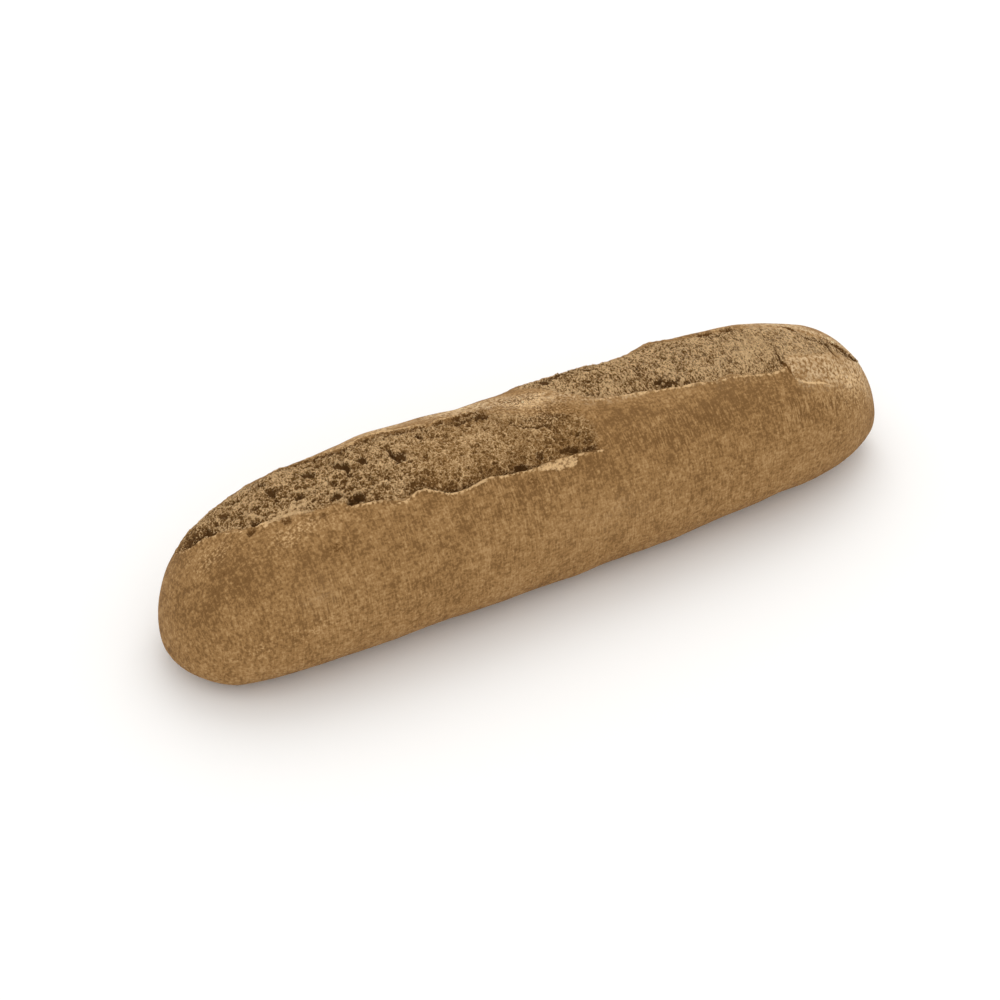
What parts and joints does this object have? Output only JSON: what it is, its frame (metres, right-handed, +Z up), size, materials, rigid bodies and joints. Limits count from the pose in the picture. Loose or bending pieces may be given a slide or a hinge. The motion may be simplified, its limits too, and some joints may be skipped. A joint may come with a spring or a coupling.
{
  "type": "baguette",
  "caption": "Short crusty bread loaf with rounded ends, a flat underside and overlapping slanted scores that have opened along its top.",
  "frame": {"origin": "middle of the loaf's flat underside, on the surface it rests on", "axes": "+X along the loaf towards the end whose score runs out over the nose, -Y towards the flank that both scores lean to, +Z up"},
  "size_m": [0.252, 0.065, 0.053],
  "materials": {
    "crust": "matte"
  },
  "bodies": {
    "root": {"loaf": "crust"}
  },
  "joints": []
}
